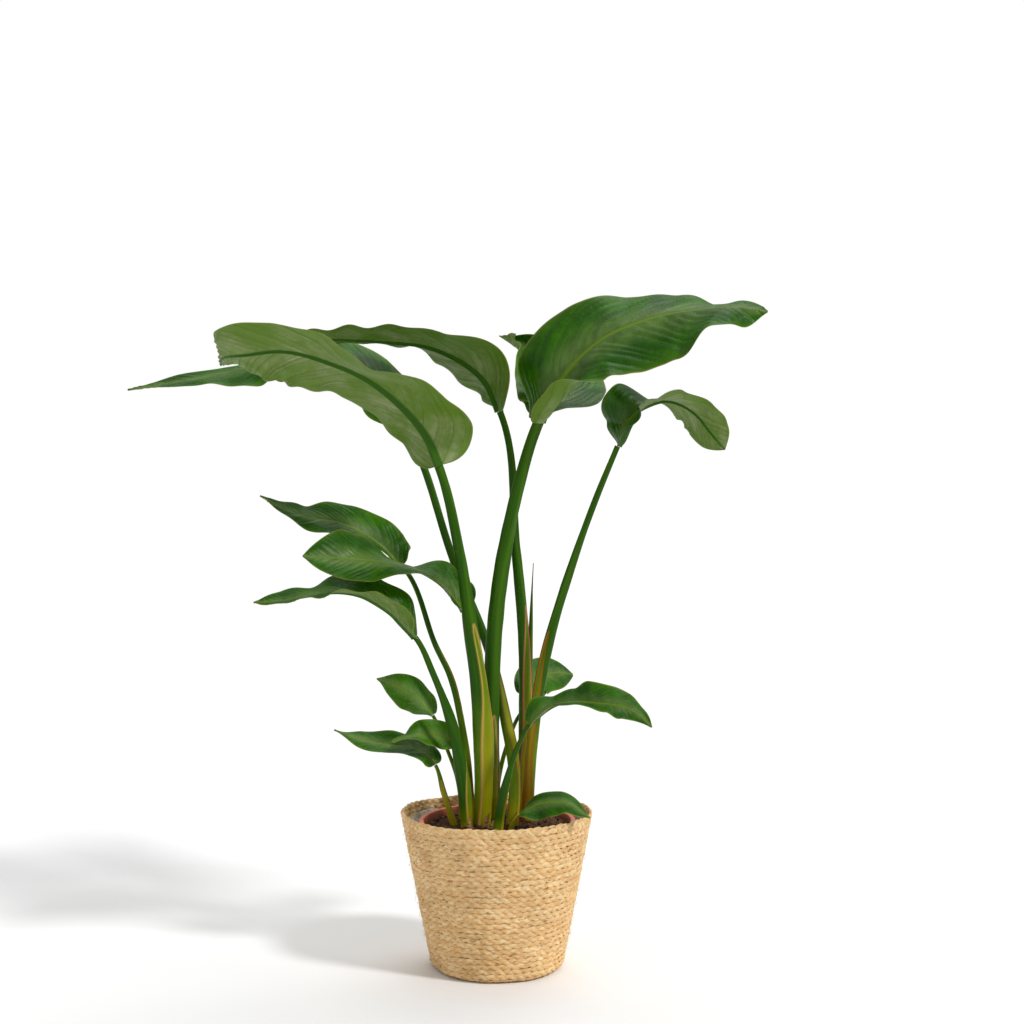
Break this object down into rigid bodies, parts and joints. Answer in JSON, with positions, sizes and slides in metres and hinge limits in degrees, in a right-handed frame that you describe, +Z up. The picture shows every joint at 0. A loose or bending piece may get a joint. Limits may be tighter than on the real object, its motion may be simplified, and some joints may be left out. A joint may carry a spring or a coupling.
{
  "type": "potted bird of paradise plant",
  "caption": "Leafy bird of paradise plant with long arching leaves on tall stalks, in a nursery pot that stands in a round tapering plaited seagrass basket.",
  "frame": {"origin": "middle of the basket's underside, on the surface that it stands on", "axes": "+Z up; the plant spreads widest along X; -Y is the side that the widest view is taken from"},
  "size_m": [0.7033, 0.3412, 0.7325],
  "materials": {
    "seagrass": "matt plaited dry grass, light tan with darker flecks",
    "liner_film": "thin crinkled grey-white film",
    "terracotta_plastic": "satin terracotta-coloured moulded plastic",
    "peat_soil": "dark brown fibrous crumbly peat",
    "stalk": "smooth waxy green, lime and yellow towards the foot",
    "leaf": "glossy deep green above, pale waxy grey-green below, ribbed by fine veins",
    "young_leaf": "waxy bright green",
    "dry_sheath": "dry papery tan and brown"
  },
  "bodies": {
    "root": {"basket": "seagrass", "liner": "liner_film", "nursery_pot": "terracotta_plastic", "soil": "peat_soil", "tall_front_left_stalk": "stalk", "tall_front_left_blade": "leaf", "tall_back_left_stalk": "stalk", "tall_back_left_blade": "leaf", "tall_far_left_stalk": "stalk", "tall_far_left_blade": "leaf", "tall_front_right_stalk": "stalk", "tall_front_right_blade": "leaf", "tall_right_stalk": "stalk", "tall_right_blade": "leaf", "tall_back_stalk": "stalk", "tall_back_blade": "leaf", "middle_upper_stalk": "stalk", "middle_upper_blade": "leaf", "middle_centre_stalk": "stalk", "middle_centre_blade": "leaf", "middle_lower_stalk": "stalk", "middle_lower_blade": "leaf", "low_left_top_stalk": "stalk", "low_left_top_blade": "leaf", "low_left_centre_stalk": "stalk", "low_left_centre_blade": "leaf", "low_left_bottom_stalk": "stalk", "low_left_bottom_blade": "leaf", "low_right_stalk": "stalk", "low_right_blade": "leaf", "low_back_stalk": "stalk", "low_back_blade": "leaf", "low_front_stalk": "stalk", "low_front_blade": "leaf", "rolled_leaf": "young_leaf", "dry_sheath_1": "dry_sheath", "dry_sheath_2": "dry_sheath", "dry_sheath_3": "dry_sheath"}
  },
  "joints": []
}
